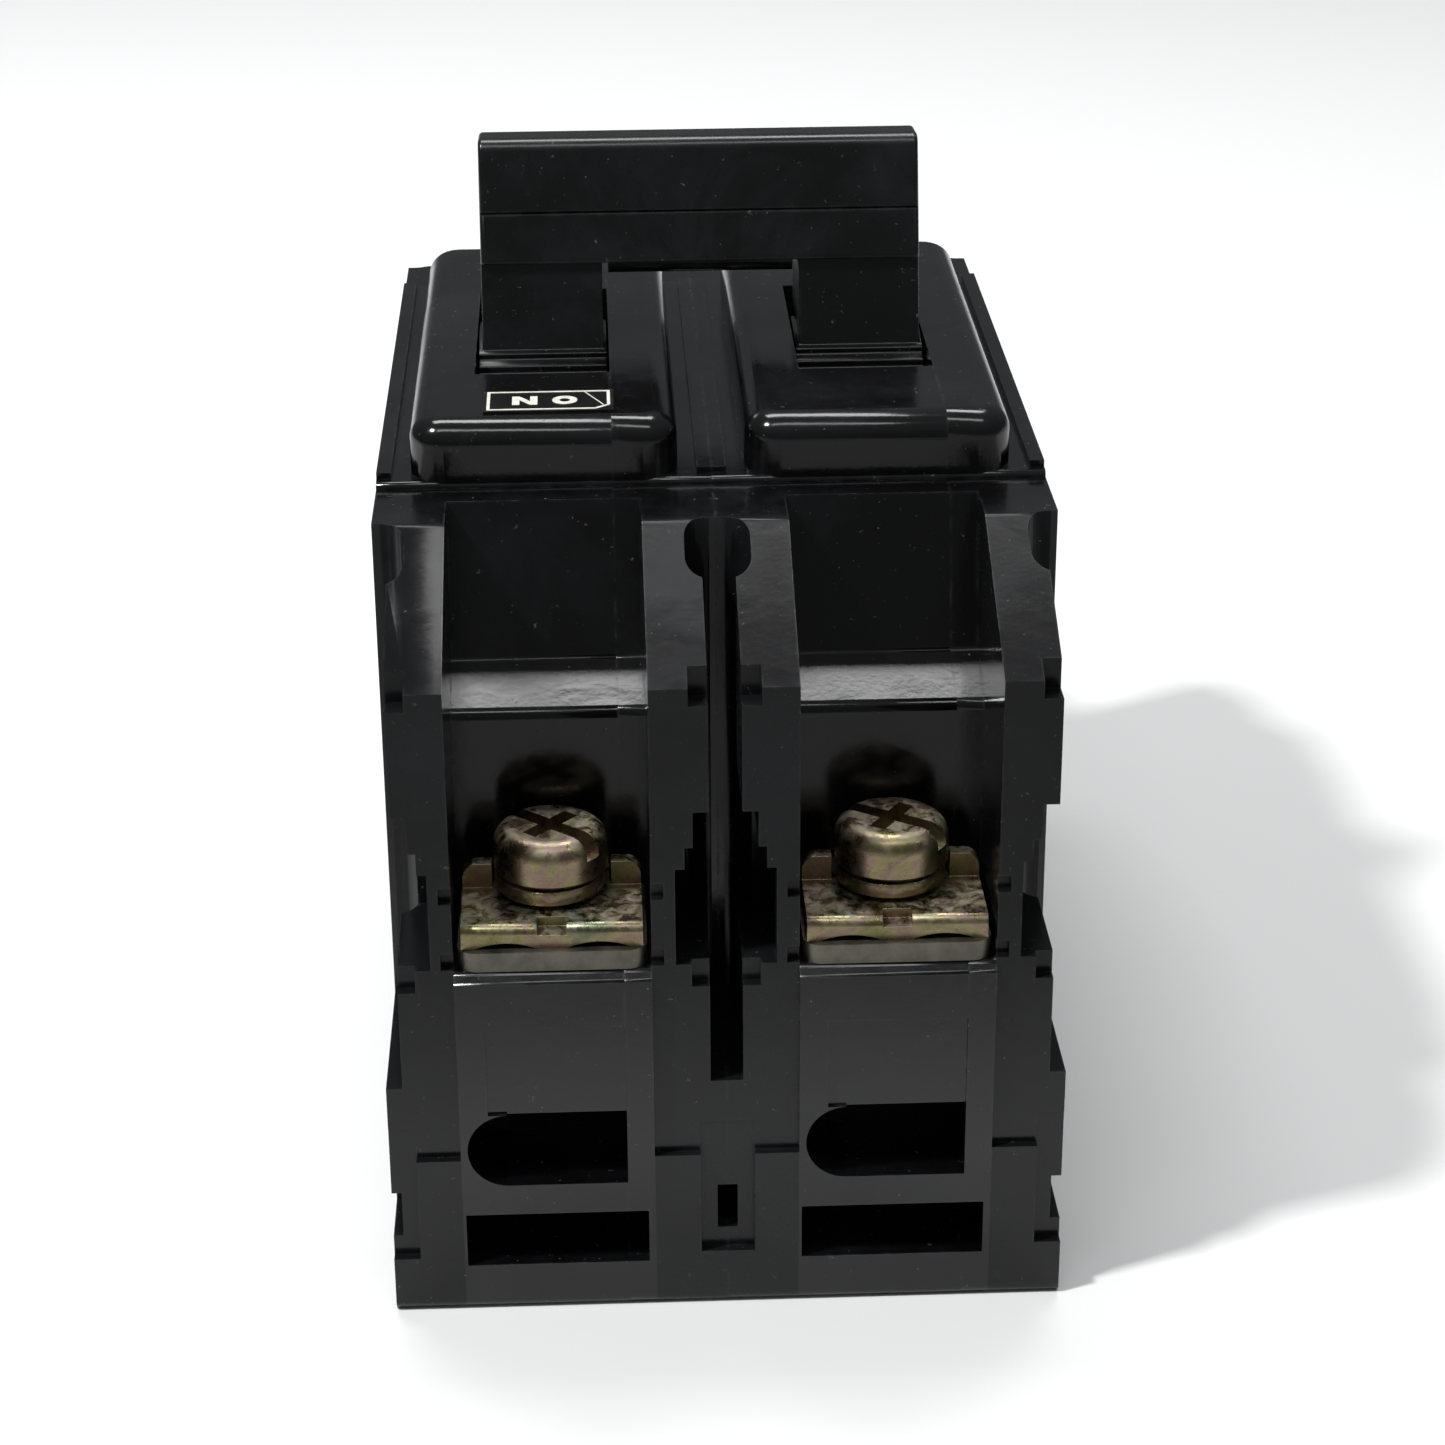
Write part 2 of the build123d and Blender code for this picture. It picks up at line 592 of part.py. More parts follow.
def make_line_side(pole):
    """Line strap from the terminal to the fixed contact, and that contact."""
    left = pole_left(pole)
    t = STRAP_THICKNESS
    name = POLE_NAMES[pole]
    post_y = CONTACT_FACE_Y + CONTACT_THICKNESS
    with BuildPart() as strap:
        block((left + X_STRAP[0], left + X_STRAP[1]), (35.4, HALF_LENGTH - 0.7), (LEDGE_HEIGHT, PLATE_TOP))
        fillet(strap.edges().filter_by(Axis.Z), 1.4)
        inner = [
            (38.0, LEDGE_HEIGHT),
            (38.0, PLATE_TOP),
            (27.0, PLATE_TOP),
            (27.0, 8.0),
            (post_y + t, 8.0),
            (post_y + t, 19.0),
            (post_y, 19.0),
            (post_y, 8.0 - t),
            (27.0 + t, 8.0 - t),
            (27.0 + t, LEDGE_HEIGHT),
        ]
        prism(inner, left + X_INNER_STRAP[0], left + X_INNER_STRAP[1])
        with Locations((left + SCREW_X, SCREW_Y, PLATE_TOP)):
            Hole(THREAD_RADIUS, depth=t + 0.1)
    write(strap, f"line_strap_{name}")
    with BuildPart() as contact:
        with BuildSketch(Plane.XZ.offset(-post_y)):
            with Locations((left + CORE_X, CONTACT_Z)):
                Circle(CONTACT_RADIUS + 0.2)
        extrude(amount=CONTACT_THICKNESS)
        fillet(contact.edges().filter_by(GeomType.CIRCLE).sort_by(Axis.Y)[0], 0.3)
    write(contact, f"fixed_contact_{name}")


def make_load_side(pole):
    """Load strap from the terminal up to the bimetal, with the calibration screw in it."""
    left = pole_left(pole)
    t = STRAP_THICKNESS
    name = POLE_NAMES[pole]
    calibration_z = 33.6
    with BuildPart() as strap:
        block((left + X_STRAP[0], left + X_STRAP[1]), (0.7 - HALF_LENGTH, -35.4), (LEDGE_HEIGHT, PLATE_TOP))
        fillet(strap.edges().filter_by(Axis.Z), 1.4)
        inner = [
            (-38.0, LEDGE_HEIGHT),
            (-28.0, LEDGE_HEIGHT),
            (-28.0, BIMETAL_Z[1]),
            (BIMETAL_Y[1], BIMETAL_Z[1]),
            (BIMETAL_Y[1], BIMETAL_Z[1] + t),
            (-28.0 - t, BIMETAL_Z[1] + t),
            (-28.0 - t, PLATE_TOP),
            (-38.0, PLATE_TOP),
        ]
        prism(inner, left + X_INNER_STRAP[0], left + X_INNER_STRAP[1])
        with Locations((left + SCREW_X, -SCREW_Y, PLATE_TOP)):
            Hole(THREAD_RADIUS, depth=t + 0.1)
        with BuildSketch(Plane.XZ.offset(27.0)):
            with Locations((left + CORE_X, calibration_z)):
                Circle(1.2)
        extrude(amount=4, mode=Mode.SUBTRACT)
    write(strap, f"load_strap_{name}")
    with BuildPart() as screw:
        with BuildSketch(Plane.XZ.offset(-BIMETAL_Y[0])):
            with Locations((left + CORE_X, calibration_z)):
                Circle(1.2)
        extrude(amount=8.4)
        block(
            (left + CORE_X - 0.25, left + CORE_X + 0.25),
            (BIMETAL_Y[0] - 9, BIMETAL_Y[0] - 7.7),
            (calibration_z - 2, calibration_z + 2),
            mode=Mode.SUBTRACT,
        )
    write(screw, f"calibration_screw_{name}")
    with BuildPart() as bimetal:
        block((left + X_INNER_STRAP[0], left + X_INNER_STRAP[1]), BIMETAL_Y, BIMETAL_Z)
    write(bimetal, f"bimetal_{name}")


def make_arc_chute(pole):
    """Stack of notched arc plates between two fibre boards."""
    left = pole_left(pole)
    name = POLE_NAMES[pole]
    boards_x = (4.2, 20.7)
    board = 0.8
    plate_count = 6
    plate_pitch = 3.0
    first_plate_y = -4.0
    with BuildPart() as plates:
        for number in range(plate_count):
            y = first_plate_y + number * plate_pitch
            width = (left + boards_x[0] + board, left + boards_x[1] - board)
            block(width, (y, y + 1.0), (CAVITY_FLOOR, 16.5))
            block((left + 9.0, left + 15.9), (y, y + 1.0), (6.0, 17.0), mode=Mode.SUBTRACT)
    write(plates, f"arc_plates_{name}")
    with BuildPart() as boards:
        for x in (boards_x[0], boards_x[1] - board):
            block((left + x, left + x + board), (-6.0, 13.5), (CAVITY_FLOOR, 18.5))
    write(boards, f"arc_boards_{name}")


def make_toggle_spring(pole):
    """Extension spring between the contact arm's side and the cradle."""
    left = pole_left(pole)
    with BuildPart() as spring:
        with BuildLine() as coil:
            Helix(pitch=1.5, height=9.0, radius=1.3, center=(left + 9.1, 3.5, 25.6))
        with BuildSketch(Plane(origin=coil.line @ 0, z_dir=coil.line % 0)):
            Circle(0.3)
        sweep(is_frenet=True)
    write(spring, f"toggle_spring_{POLE_NAMES[pole]}")


# ---------------------------------------------------------------- trip gear


def make_trip_gear(pole):
    """Cradle on its pin, magnet yoke, armature and the braid to the contact arm."""
    left = pole_left(pole)
    name = POLE_NAMES[pole]
    pivot_y, pivot_z = CRADLE_PIVOT
    with BuildPart() as cradle:
        outline = [
            (pivot_y - 1.0, pivot_z + 3.6),
            (pivot_y + 3.0, pivot_z + 2.2),
            (pivot_y + 3.4, pivot_z - 2.4),
            (pivot_y - 4.0, pivot_z - 4.2),
            (-16.4, 33.6),
            (-16.4, 35.4),
            (-12.0, 37.6),
        ]
        prism(outline, left + X_CRADLE[0], left + X_CRADLE[1])
        bush = CRADLE_PIN_RADIUS + 1.2
        cross_rod(pivot_y, pivot_z, bush, left + X_CRADLE[0], left + X_CRADLE[1] + 3.0)
        hole = CRADLE_PIN_RADIUS + RUNNING_CLEARANCE
        cross_rod(pivot_y, pivot_z, hole, left, left + POLE_PITCH, mode=Mode.SUBTRACT)
    write(cradle, f"trip_cradle_{name}")
    with BuildPart() as pin:
        cross_rod(pivot_y, pivot_z, CRADLE_PIN_RADIUS, left + 1.2, left + 23.8)
    write(pin, f"cradle_pin_{name}")
    with BuildPart() as yoke:
        yoke_x = (left + 7.0, left + 17.9)
        block(yoke_x, (-25.2, -20.4), (16.0, 27.0))
        block((yoke_x[0] + 1.2, yoke_x[1] - 1.2), (BIMETAL_Y[0], -20.0), (15.0, 28.0), mode=Mode.SUBTRACT)
    write(yoke, f"magnet_yoke_{name}")
    with BuildPart() as armature:
        y, z = ARMATURE_PIVOT
        block((left + 5.0, left + 19.6), (y - 0.5, y + 0.5), (14.0, z))
        cross_rod(y, z, 1.5, left + 5.0, left + 19.6)
        cross_rod(y, z, ARMATURE_PIN_RADIUS, left + 1.4, left + 23.6)
        block((left + 4.0, left + 7.4), (y - 1, y + 1), (30.0, 36.4), mode=Mode.SUBTRACT)
    write(armature, f"armature_{name}")
    with BuildPart() as braid:
        half = 0.7
        route = [(BIMETAL_Y[1] + half, 13.0), (-18.5, 8.6), (-12.0, 8.6), (-7.4, 17.6)]
        with BuildSketch(Plane.YZ.offset(left + X_ARM[0] - 1.0)):
            with BuildLine():
                FilletPolyline(*route, radius=3.0)
                offset(amount=half, side=Side.BOTH)
            make_face()
        extrude(amount=X_ARM[1] - X_ARM[0] + 2.0)
    write(braid, f"braid_{name}")


def make_trip_bar():
    """Bar through both poles that trips them together, with a paddle at each armature."""
    y, z = TRIP_BAR
    with BuildPart() as bar:
        cross_rod(y, z, TRIP_BAR_RADIUS, pole_left(0) + 1.6, pole_left(1) + 23.4)
        for pole in range(2):
            left = pole_left(pole)
            paddle = (left + 16.2, left + 19.4)
            block(paddle, (y - 4.2, y), (z - 0.8, z + 0.8))
            block((left + 5.2, left + 7.0), (y - 0.8, y + 0.8), (z, z + 3.4))
    write(bar, "trip_bar")


# ---------------------------------------------------------------- terminals


def make_clamp(x, end, name):
    """Saddle clamp: arched front lip, seat for the washer and an ear on each side behind it."""
    front = end * CLAMP_FRONT
    seat_z = (CLAMP_TOP - CLAMP_THICKNESS, CLAMP_TOP)
    across = (x - CLAMP_HALF_WIDTH, x + CLAMP_HALF_WIDTH)
    ear_y = end_span(end, EAR_FRONT, EAR_FRONT - CLAMP_THICKNESS)
    with BuildPart() as clamp:
        block(across, end_span(end, CLAMP_FRONT, EAR_FRONT - CLAMP_THICKNESS), seat_z)
        block(across, end_span(end, CLAMP_FRONT, CLAMP_FRONT - CLAMP_THICKNESS), (PLATE_TOP, CLAMP_TOP))
        block(across, ear_y, (CLAMP_TOP - CLAMP_THICKNESS, CLAMP_TOP + EAR_HEIGHT))
        fillet(clamp.edges().filter_by(Axis.Y).group_by(Axis.Z)[-1], EAR_CORNER)
        gap = (x - EAR_GAP, x + EAR_GAP)
        block(gap, ear_y, (CLAMP_TOP, CLAMP_TOP + EAR_HEIGHT), mode=Mode.SUBTRACT)
        fillet(clamp.edges().filter_by(Axis.X).sort_by_distance((x, front, CLAMP_TOP))[0], LIP_ROUND)
        tongue = (x - EAR_GAP + 0.1, x + EAR_GAP - 0.1)
        block(tongue, end_span(end, EAR_FRONT, CLAMP_BACK), seat_z)
        width, length, depth = CLAMP_NOTCH
        notch_y = end_span(end, CLAMP_FRONT + 1, CLAMP_FRONT - length)
        notch_x = (x - width / 2, x + width / 2)
        block(notch_x, notch_y, (CLAMP_TOP - depth, CLAMP_TOP + 1), mode=Mode.SUBTRACT)
        with BuildSketch(Plane.XZ.offset(-front)) as arches:
            for side in (-1, 1):
                with Locations((x + side * LIP_ARCH_X, PLATE_TOP + LIP_ARCH_RISE - LIP_ARCH_RADIUS)):
                    Circle(LIP_ARCH_RADIUS)
            with Locations((x, PLATE_TOP + LIP_ARCH_RISE / 2)):
                Rectangle(2 * CLAMP_HALF_WIDTH, LIP_ARCH_RISE, mode=Mode.INTERSECT)
        extrude(arches.sketch, amount=end * 2 * CLAMP_THICKNESS, mode=Mode.SUBTRACT)
        with Locations((x, end * SCREW_Y, CLAMP_TOP)):
            Hole(SCREW_RADIUS + 0.4, depth=2 * CLAMP_THICKNESS)
    write(clamp, f"saddle_clamp_{name}")


def make_washer(x, y, name):
    """Split spring washer: one helical turn of a flat section."""
    width = WASHER_RADIUS - WASHER_HOLE
    middle = (WASHER_RADIUS + WASHER_HOLE) / 2
    start = CLAMP_TOP + WASHER_SLACK + WASHER_SECTION / 2
    pitch = WASHER_RISE / 0.97
    with BuildPart() as washer:
        with BuildLine() as turn:
            Helix(pitch=pitch, height=WASHER_RISE, radius=middle, center=(x, y, start))
        with BuildSketch(Plane(origin=turn.line @ 0, x_dir=(1, 0, 0), z_dir=turn.line % 0)):
            Rectangle(width, WASHER_SECTION)
        sweep(is_frenet=True)
    write(washer, f"spring_washer_{name}")


def make_screw(x, y, name):
    """Pan head terminal screw with a slot and a cross, on a plain shank."""
    with BuildPart() as screw:
        with BuildSketch(Plane.XY.offset(HEAD_BOTTOM)):
            with Locations((x, y)):
                Circle(HEAD_RADIUS)
        extrude(amount=HEAD_HEIGHT)
        fillet(screw.edges().filter_by(GeomType.CIRCLE).sort_by(Axis.Z)[-1], HEAD_ROUND)
        chamfer(screw.edges().filter_by(GeomType.CIRCLE).sort_by(Axis.Z)[0], HEAD_UNDERCUT)
        with BuildSketch(Plane.XY.offset(SHANK_BOTTOM)):
            with Locations((x, y)):
                Circle(SCREW_RADIUS)
        extrude(amount=HEAD_BOTTOM - SHANK_BOTTOM + 0.5)
        chamfer(screw.edges().filter_by(GeomType.CIRCLE).sort_by(Axis.Z)[0], 0.5)
        with BuildSketch(Plane.XY.offset(HEAD_BOTTOM + HEAD_HEIGHT - HEAD_SLOT_DEPTH)):
            with Locations((x, y)):
                Rectangle(3 * HEAD_RADIUS, HEAD_SLOT_WIDTH, rotation=SLOT_TURNS[name])
                Rectangle(HEAD_SLOT_WIDTH, HEAD_CROSS_LENGTH, rotation=SLOT_TURNS[name])
        extrude(amount=HEAD_SLOT_DEPTH + 1, mode=Mode.SUBTRACT)
    write(screw, f"terminal_screw_{name}")


def make_terminal(pole, end):
    """Saddle clamp, spring washer and screw of one terminal."""
    x = pole_left(pole) + SCREW_X
    y = end * SCREW_Y
    name = f"{'load' if end < 0 else 'line'}_{POLE_NAMES[pole]}"
    make_clamp(x, end, name)
    make_washer(x, y, name)
    make_screw(x, y, name)


def make_marking_plate():
    """Thin plate set on the left platform beside the handle's slot."""
    left = pole_left(0)
    with BuildPart() as plate:
        plate_z = (PLATFORM_HEIGHT, PLATFORM_HEIGHT + MARKING_THICKNESS)
        block((left + MARKING_X[0], left + MARKING_X[1]), MARKING_Y, plate_z)
    write(plate, "marking_plate")


def main():
    os.makedirs("parts", exist_ok=True)
    for pole in range(2):
        make_shells(pole)
        make_handle(pole)
        make_contact_arm(pole)
        make_line_side(pole)
        make_load_side(pole)
        make_arc_chute(pole)
        make_toggle_spring(pole)
        make_trip_gear(pole)
        for end in (-1, 1):
            make_terminal(pole, end)
    make_rivets()
    make_handle_bar()
    make_trip_bar()
    make_marking_plate()


main()
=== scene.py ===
"""Looks of the two-pole moulded-case circuit breaker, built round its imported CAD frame.

Everything is in metres, in the CAD's own frame: X across the poles, the load terminals at -Y,
Z up from the mounting face.
"""

import json
from math import cos, pi, radians, sin

import bmesh
import bpy
from mathutils import Matrix, Vector


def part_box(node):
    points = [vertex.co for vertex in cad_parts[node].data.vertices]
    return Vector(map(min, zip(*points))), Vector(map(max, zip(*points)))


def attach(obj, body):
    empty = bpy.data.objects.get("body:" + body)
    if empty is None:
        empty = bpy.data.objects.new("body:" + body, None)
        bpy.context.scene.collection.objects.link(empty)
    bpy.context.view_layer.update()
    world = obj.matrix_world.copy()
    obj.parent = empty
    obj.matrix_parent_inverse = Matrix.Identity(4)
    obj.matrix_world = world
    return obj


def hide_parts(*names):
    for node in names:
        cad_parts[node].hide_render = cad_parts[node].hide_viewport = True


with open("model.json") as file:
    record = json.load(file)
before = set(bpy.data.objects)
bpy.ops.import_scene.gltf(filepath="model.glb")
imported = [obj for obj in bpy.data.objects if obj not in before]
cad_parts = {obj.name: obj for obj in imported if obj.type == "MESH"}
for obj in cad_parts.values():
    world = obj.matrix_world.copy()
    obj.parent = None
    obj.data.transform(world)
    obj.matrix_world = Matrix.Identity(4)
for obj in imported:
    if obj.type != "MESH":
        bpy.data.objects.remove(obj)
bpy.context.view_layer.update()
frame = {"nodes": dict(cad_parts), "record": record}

MM = 0.001
POLES = ("left", "right")
POLE_PITCH = 25 * MM

# Where the ribs beside the terminal recesses are, each pair the two ends of a soft step
RECESS_MIDDLE = 12.45 * MM
RIB_SIDE = (7.12 * MM, 7.22 * MM)
RIB_START = (31.8 * MM, 32.6 * MM)

# Widths of the softened arrises, in millimetres, by the start of a node's name
ARRIS = {
    "base_shell": 0.28,
    "cover_shell": 0.28,
    "handle": 0.22,
    "saddle_clamp": 0.12,
    "spring_washer": 0.16,
}

# Printed marking, its frame and letters placed from the edges of its plate
PRINT_INSET = 0.25 * MM
PRINT_LINE = 0.24 * MM
PRINT_HEIGHT = 0.03 * MM
TORN_CORNER = (1.1 * MM, 0.9 * MM)
CREASE = (1.9 * MM, 0.5 * MM)
LETTER_SIZE = 1.9 * MM
LETTER_STROKE = 0.55 * MM
LETTER_CENTRES = (3.1 * MM, 6.1 * MM)
LETTER_DIAGONAL = 0.8 * MM
RING_STEPS = 20

# Studio: half the paper's size, and along Y where the paper's painted shade in front is darkest and where
# it turns white
PAPER_HALF = 3.0
PAPER_PAINTED_SHADE = (-108 * MM, -69 * MM)
# Each lamp's place, size and power
LAMPS = {
    "key": ((-0.53, -0.27, 0.85), (0.09, 0.09), 7.6),
    "soft_box": ((-0.01, 0.235, 0.63), (0.42, 0.17), 2.2),
    "strip": ((0.01, -0.26, 0.60), (0.42, 0.08), 0.6),
}
LAMP_AIM = (0, 0, 0.03)

# Camera: where it looks from, in degrees and metres
VIEW_AZIMUTH = 2.27
VIEW_ELEVATION = 24.34
VIEW_ROLL = 0.34
VIEW_DISTANCE = 0.2777
AIM = Vector((0.00130, -0.00943, 0.03084))
FOCAL_LENGTH = 84.3
SENSOR = 36.0


# ---------------------------------------------------------------- colour and node helpers


def linear(hex_colour):
    """sRGB hex such as 'C0A062' as a linear RGBA colour."""
    channels = [int(hex_colour[i : i + 2], 16) / 255 for i in (0, 2, 4)]
    return [c / 12.92 if c <= 0.04045 else ((c + 0.055) / 1.055) ** 2.4 for c in channels] + [1.0]


def add(tree, kind, settings=None, **inputs):
    """Adds one node. Settings are its properties; inputs are socket names with _ for a space, or values."""
    node = tree.nodes.new(kind)
    for key, value in (settings or {}).items():
        setattr(node, key, value)
    for key, value in inputs.items():
        name = key.replace("_", " ")
        socket = node.inputs[int(key[1:])] if key[0] == "i" and key[1:].isdigit() else node.inputs[name]
        if isinstance(value, bpy.types.NodeSocket):
            tree.links.new(value, socket)
        else:
            socket.default_value = value
    return node


def new_material(name):
    """Empty node material with a Principled shader and its Object coordinates."""
    material = bpy.data.materials.new(name)
    material.use_nodes = True
    tree = material.node_tree
    tree.nodes.clear()
    shader = add(tree, "ShaderNodeBsdfPrincipled")
    add(tree, "ShaderNodeOutputMaterial", Surface=shader.outputs["BSDF"])
    place = add(tree, "ShaderNodeTexCoord").outputs["Object"]
    return material, tree, shader, place


def ramp(tree, factor, stops):
    """Colour ramp through (position, hex) stops."""
    node = add(tree, "ShaderNodeValToRGB", Fac=factor)
    elements = node.color_ramp.elements
    while len(elements) < len(stops):
        elements.new(0.5)
    for element, (position, colour) in zip(elements, stops):
        element.position = position
        element.color = linear(colour)
    return node.outputs["Color"]


def spread(tree, value, low, high, to_low=0.0, to_high=1.0):
    """Value taken from one range to another and held inside it."""
    ends = {"From_Min": low, "From_Max": high, "To_Min": to_low, "To_Max": to_high}
    return add(tree, "ShaderNodeMapRange", Value=value, **ends).outputs["Result"]


def calculate(tree, operation, first, second=0.0, third=0.0):
    """One step of arithmetic on up to three values."""
    node = add(tree, "ShaderNodeMath", {"operation": operation}, i0=first, i1=second, i2=third)
    return node.outputs["Value"]


def blend(tree, factor, first, second):
    """Colour that goes from the first to the second as the factor rises."""
    node = add(tree, "ShaderNodeMix", {"data_type": "RGBA"}, i0=factor, i6=first, i7=second)
    return node.outputs[2]


def edge_wear(tree, radius, noise_scale, place):
    """0 to 1 mask along convex edges, broken up by noise."""
    flat = add(tree, "ShaderNodeNewGeometry").outputs["Normal"]
    rounded = add(tree, "ShaderNodeBevel", {"samples": 4}, Radius=radius).outputs["Normal"]
    alike = add(tree, "ShaderNodeVectorMath", {"operation": "DOT_PRODUCT"}, i0=flat, i1=rounded)
    edge = spread(tree, alike.outputs["Value"], 1.0, 0.82)
    patchy = add(tree, "ShaderNodeTexNoise", Vector=place, Scale=noise_scale, Detail=4.0)
    return calculate(tree, "MULTIPLY", edge, spread(tree, patchy.outputs["Fac"], 0.42, 0.62))


# ---------------------------------------------------------------- materials


def barrier_mask(tree, place):
    """1 on the ribs between and beside the terminals, 0 on the faces between them."""
    axes = add(tree, "ShaderNodeSeparateXYZ", Vector=place)
    across = calculate(tree, "WRAP", axes.outputs["X"], POLE_PITCH, 0.0)
    from_middle = calculate(tree, "ABSOLUTE", calculate(tree, "SUBTRACT", across, RECESS_MIDDLE))
    beside = spread(tree, from_middle, *RIB_SIDE)
    along = calculate(tree, "ABSOLUTE", axes.outputs["Y"])
    return calculate(tree, "MULTIPLY", beside, spread(tree, along, *RIB_START))


def moulded_phenolic(name="moulded_phenolic", gloss=0.14, base="070708", dusty="141517", ribs=False):
    """Black phenolic, compression moulded in a polished steel mould.

    It is jet black under a glassy skin that mirrors its surroundings, with faint mould flow, a
    fine grain where the filler reads through, duller handled patches, scattered dust and
    slightly greyer arrises. The ribs between the terminals have a duller skin, most of all on
    their sloping tops.
    """
    material, tree, shader, place = new_material(name)
    hazy = {"Scale": 70.0, "Detail": 7.0, "Roughness": 0.65, "Distortion": 0.4}
    haze = add(tree, "ShaderNodeTexNoise", Vector=place, **hazy)
    grain = add(tree, "ShaderNodeTexNoise", Vector=place, Scale=2400.0, Detail=2.0)
    flow = add(tree, "ShaderNodeTexNoise", Vector=place, Scale=180.0, Detail=2.0, Distortion=0.8)
    dust = add(tree, "ShaderNodeTexNoise", Vector=place, Scale=1500.0, Detail=3.0, Roughness=0.8)
    specks = spread(tree, dust.outputs["Fac"], 0.675, 0.72)
    patches = spread(tree, haze.outputs["Fac"], 0.45, 0.68)
    wear = edge_wear(tree, 0.0003, 520.0, place)
    body = ramp(tree, patches, [(0.0, base), (1.0, dusty)])
    worn = blend(tree, calculate(tree, "MULTIPLY", wear, 0.7), body, linear("2E2F31"))
    dusted = blend(tree, calculate(tree, "MULTIPLY", specks, 0.55), worn, linear("6A6A66"))
    rough = spread(tree, patches, 0.0, 1.0, gloss, gloss + 0.11)
    rough = calculate(tree, "MULTIPLY_ADD", wear, 0.14, rough)
    rough = calculate(tree, "MULTIPLY_ADD", specks, 0.3, rough)
    if ribs:
        rib = barrier_mask(tree, place)
        rough = calculate(tree, "MULTIPLY_ADD", rib, 0.05, rough)
        facing = add(tree, "ShaderNodeNewGeometry").outputs["Normal"]
        height = add(tree, "ShaderNodeSeparateXYZ", Vector=facing)
        dulling = spread(tree, height.outputs["Z"], 0.3, 0.8, 0.18, 0.36)
        skin = calculate(tree, "SUBTRACT", 0.5, calculate(tree, "MULTIPLY", rib, dulling))
        tree.links.new(skin, shader.inputs["Specular IOR Level"])
        dusted = blend(tree, calculate(tree, "MULTIPLY", rib, 0.22), dusted, linear("2A2B2D"))
    tree.links.new(dusted, shader.inputs["Base Color"])
    tree.links.new(rough, shader.inputs["Roughness"])
    shader.inputs["IOR"].default_value = 1.5
    waves = add(tree, "ShaderNodeBump", Strength=0.16, Distance=0.0002, Height=flow.outputs["Fac"])
    fine = add(tree, "ShaderNodeBump", Strength=0.10, Distance=0.00005, Height=grain.outputs["Fac"])
    tree.links.new(waves.outputs["Normal"], fine.inputs["Normal"])
    tree.links.new(fine.outputs["Normal"], shader.inputs["Normal"])
    return material


def yellow_chromate(name="yellow_chromate_steel"):
    """Zinc plated steel with an aged yellow chromate pass.

    It gives a dull olive gold that drifts to green and pink, a whitish zinc bloom in patches
    that are strongest on upward faces, and dirt in the pits.
    """
    material, tree, shader, place = new_material(name)
    drift = add(tree, "ShaderNodeTexNoise", Vector=place, Scale=230.0, Detail=3.0, Distortion=0.9)
    film = ramp(
        tree,
        drift.outputs["Fac"],
        [(0.30, "7C7A50"), (0.42, "988E66"), (0.50, "957C70"), (0.58, "9E926C"), (0.70, "72785E")],
    )
    mottled = {"Scale": 850.0, "Detail": 9.0, "Roughness": 0.72, "Distortion": 0.5}
    mottle = add(tree, "ShaderNodeTexNoise", Vector=place, **mottled)
    veined = {"Scale": 2400.0, "Detail": 4.0, "Roughness": 0.8, "Distortion": 1.6}
    veins = add(tree, "ShaderNodeTexNoise", Vector=place, **veined)
    facing = add(tree, "ShaderNodeNewGeometry")
    height = add(tree, "ShaderNodeSeparateXYZ", Vector=facing.outputs["Normal"])
    up = spread(tree, height.outputs["Z"], 0.1, 0.95, 0.22, 1.0)
    bloom = calculate(tree, "MULTIPLY", up, spread(tree, mottle.outputs["Fac"], 0.43, 0.66))
    dirt = spread(tree, veins.outputs["Fac"], 0.54, 0.66)
    bloomed = blend(tree, calculate(tree, "MULTIPLY", bloom, 0.62), film, linear("9C9A95"))
    soiled = blend(tree, calculate(tree, "MULTIPLY", dirt, 0.38), bloomed, linear("3A372E"))
    tree.links.new(soiled, shader.inputs["Base Color"])
    tree.links.new(spread(tree, bloom, 0.0, 1.0, 0.27, 0.66), shader.inputs["Roughness"])
    tree.links.new(spread(tree, bloom, 0.0, 1.0, 1.0, 0.55), shader.inputs["Metallic"])
    pits = add(tree, "ShaderNodeBump", Strength=0.35, Distance=0.00008, Height=mottle.outputs["Fac"])
    crust = add(tree, "ShaderNodeBump", Strength=0.25, Distance=0.00004, Height=veins.outputs["Fac"])
    tree.links.new(pits.outputs["Normal"], crust.inputs["Normal"])
    tree.links.new(crust.outputs["Normal"], shader.inputs["Normal"])
    return material


def plain_metal(name, dark, light, roughness, grain=700.0, streak=1.0):
    """Rolled or stamped metal between two tones, with a fine stretched grain."""
    material, tree, shader, place = new_material(name)
    stretch = add(tree, "ShaderNodeMapping", Vector=place)
    stretch.inputs["Scale"].default_value = (1.0, streak, 1.0)
    along = stretch.outputs["Vector"]
    noise = add(tree, "ShaderNodeTexNoise", Vector=along, Scale=grain, Detail=6.0, Roughness=0.6)
    tone = ramp(tree, noise.outputs["Fac"], [(0.35, dark), (0.65, light)])
    tree.links.new(tone, shader.inputs["Base Color"])
    rough = spread(tree, noise.outputs["Fac"], 0.3, 0.7, roughness, roughness + 0.15)
    tree.links.new(rough, shader.inputs["Roughness"])
    shader.inputs["Metallic"].default_value = 1.0
    bump = add(tree, "ShaderNodeBump", Strength=0.12, Distance=0.00004, Height=noise.outputs["Fac"])
    tree.links.new(bump.outputs["Normal"], shader.inputs["Normal"])
    return material


